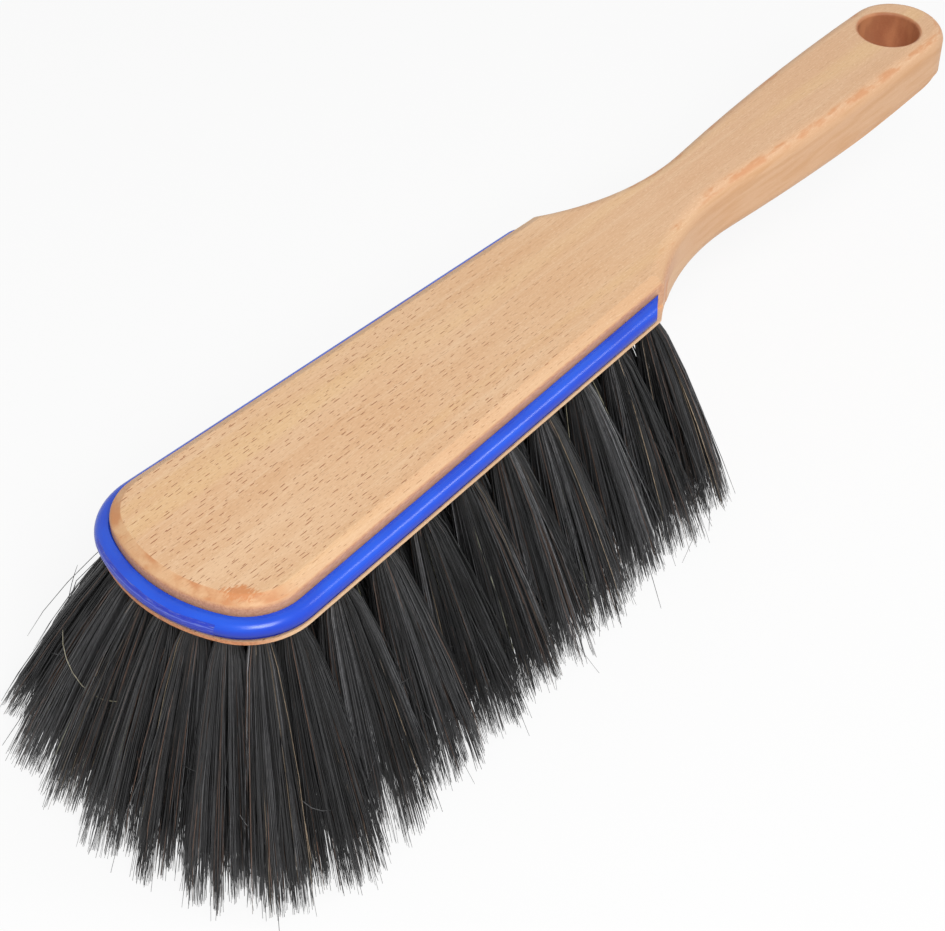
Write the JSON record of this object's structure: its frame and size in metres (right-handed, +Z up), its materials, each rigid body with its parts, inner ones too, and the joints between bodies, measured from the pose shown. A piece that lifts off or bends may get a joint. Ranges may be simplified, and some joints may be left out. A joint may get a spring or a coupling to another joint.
{
  "type": "hand broom",
  "caption": "Hand broom with a one-piece beech body, a hanging hole in the handle, a blue bumper strip round the head and rows of black horsehair tufts that fan out below.",
  "frame": {"origin": "middle of the bounding box, on the floor that the bristle tips stand on", "axes": "+X from the nose to the end of the handle, +Z up out of the head's top"},
  "size_m": [0.3808, 0.1236, 0.0798],
  "materials": {
    "beech": "fine sanded, thin satin wax",
    "blue_plastic": "gloss",
    "anchor_wire": "plain",
    "horsehair": "silky"
  },
  "bodies": {
    "block": {"beech_body": "beech", "bumper_strip": "blue_plastic", "tuft_anchors": "anchor_wire"},
    "row_middle": {"tuft_middle_01": "horsehair", "tuft_middle_02": "horsehair", "tuft_middle_03": "horsehair", "tuft_middle_04": "horsehair", "tuft_middle_05": "horsehair", "tuft_middle_06": "horsehair", "tuft_middle_07": "horsehair", "tuft_middle_08": "horsehair", "tuft_middle_09": "horsehair", "tuft_middle_10": "horsehair", "tuft_nose_04": "horsehair"},
    "row_right_outer": {"tuft_right_outer_01": "horsehair", "tuft_right_outer_02": "horsehair", "tuft_right_outer_03": "horsehair", "tuft_right_outer_04": "horsehair", "tuft_right_outer_05": "horsehair", "tuft_right_outer_06": "horsehair", "tuft_right_outer_07": "horsehair", "tuft_right_outer_08": "horsehair", "tuft_right_outer_09": "horsehair", "tuft_right_outer_10": "horsehair", "tuft_nose_01": "horsehair", "tuft_nose_02": "horsehair"},
    "row_right_inner": {"tuft_right_inner_01": "horsehair", "tuft_right_inner_02": "horsehair", "tuft_right_inner_03": "horsehair", "tuft_right_inner_04": "horsehair", "tuft_right_inner_05": "horsehair", "tuft_right_inner_06": "horsehair", "tuft_right_inner_07": "horsehair", "tuft_right_inner_08": "horsehair", "tuft_right_inner_09": "horsehair", "tuft_nose_03": "horsehair"},
    "row_left_inner": {"tuft_left_inner_01": "horsehair", "tuft_left_inner_02": "horsehair", "tuft_left_inner_03": "horsehair", "tuft_left_inner_04": "horsehair", "tuft_left_inner_05": "horsehair", "tuft_left_inner_06": "horsehair", "tuft_left_inner_07": "horsehair", "tuft_left_inner_08": "horsehair", "tuft_left_inner_09": "horsehair", "tuft_nose_05": "horsehair"},
    "row_left_outer": {"tuft_left_outer_01": "horsehair", "tuft_left_outer_02": "horsehair", "tuft_left_outer_03": "horsehair", "tuft_left_outer_04": "horsehair", "tuft_left_outer_05": "horsehair", "tuft_left_outer_06": "horsehair", "tuft_left_outer_07": "horsehair", "tuft_left_outer_08": "horsehair", "tuft_left_outer_09": "horsehair", "tuft_left_outer_10": "horsehair", "tuft_nose_06": "horsehair", "tuft_nose_07": "horsehair"}
  },
  "joints": [
    {"name": "flex_middle", "type": "hinge", "parent": "block", "child": "row_middle", "pos_m": [-0.06208, 0, 0.05942], "axis": [1, 0, -0.0078], "range_deg": [-15, 15], "stiffness_Nm_per_rad": 0.4, "deforming": ["tuft_middle_01", "tuft_middle_02", "tuft_middle_03", "tuft_middle_04", "tuft_middle_05", "tuft_middle_06", "tuft_middle_07", "tuft_middle_08", "tuft_middle_09", "tuft_middle_10", "tuft_nose_04"]},
    {"name": "flex_right_outer", "type": "hinge", "parent": "block", "child": "row_right_outer", "pos_m": [-0.06208, 0.02235, 0.06394], "axis": [0.9992, -0.0395, -0.0066], "range_deg": [-15, 15], "stiffness_Nm_per_rad": 0.4, "deforming": ["tuft_right_outer_01", "tuft_right_outer_02", "tuft_right_outer_03", "tuft_right_outer_04", "tuft_right_outer_05", "tuft_right_outer_06", "tuft_right_outer_07", "tuft_right_outer_08", "tuft_right_outer_09", "tuft_right_outer_10", "tuft_nose_01", "tuft_nose_02"]},
    {"name": "flex_right_inner", "type": "hinge", "parent": "block", "child": "row_right_inner", "pos_m": [-0.06208, 0.01117, 0.06043], "axis": [0.9998, -0.0197, -0.0013], "range_deg": [-15, 15], "stiffness_Nm_per_rad": 0.4, "deforming": ["tuft_right_inner_01", "tuft_right_inner_02", "tuft_right_inner_03", "tuft_right_inner_04", "tuft_right_inner_05", "tuft_right_inner_06", "tuft_right_inner_07", "tuft_right_inner_08", "tuft_right_inner_09", "tuft_nose_03"]},
    {"name": "flex_left_inner", "type": "hinge", "parent": "block", "child": "row_left_inner", "pos_m": [-0.06208, -0.01117, 0.06043], "axis": [0.9998, 0.0197, -0.0013], "range_deg": [-15, 15], "stiffness_Nm_per_rad": 0.4, "deforming": ["tuft_left_inner_01", "tuft_left_inner_02", "tuft_left_inner_03", "tuft_left_inner_04", "tuft_left_inner_05", "tuft_left_inner_06", "tuft_left_inner_07", "tuft_left_inner_08", "tuft_left_inner_09", "tuft_nose_05"]},
    {"name": "flex_left_outer", "type": "hinge", "parent": "block", "child": "row_left_outer", "pos_m": [-0.06208, -0.02235, 0.06394], "axis": [0.9992, 0.0395, -0.0066], "range_deg": [-15, 15], "stiffness_Nm_per_rad": 0.4, "deforming": ["tuft_left_outer_01", "tuft_left_outer_02", "tuft_left_outer_03", "tuft_left_outer_04", "tuft_left_outer_05", "tuft_left_outer_06", "tuft_left_outer_07", "tuft_left_outer_08", "tuft_left_outer_09", "tuft_left_outer_10", "tuft_nose_06", "tuft_nose_07"]}
  ],
  "couplings": [
    {"joint": "flex_right_outer", "follows": "flex_middle", "ratio": 1},
    {"joint": "flex_right_inner", "follows": "flex_middle", "ratio": 1},
    {"joint": "flex_left_inner", "follows": "flex_middle", "ratio": 1},
    {"joint": "flex_left_outer", "follows": "flex_middle", "ratio": 1}
  ]
}
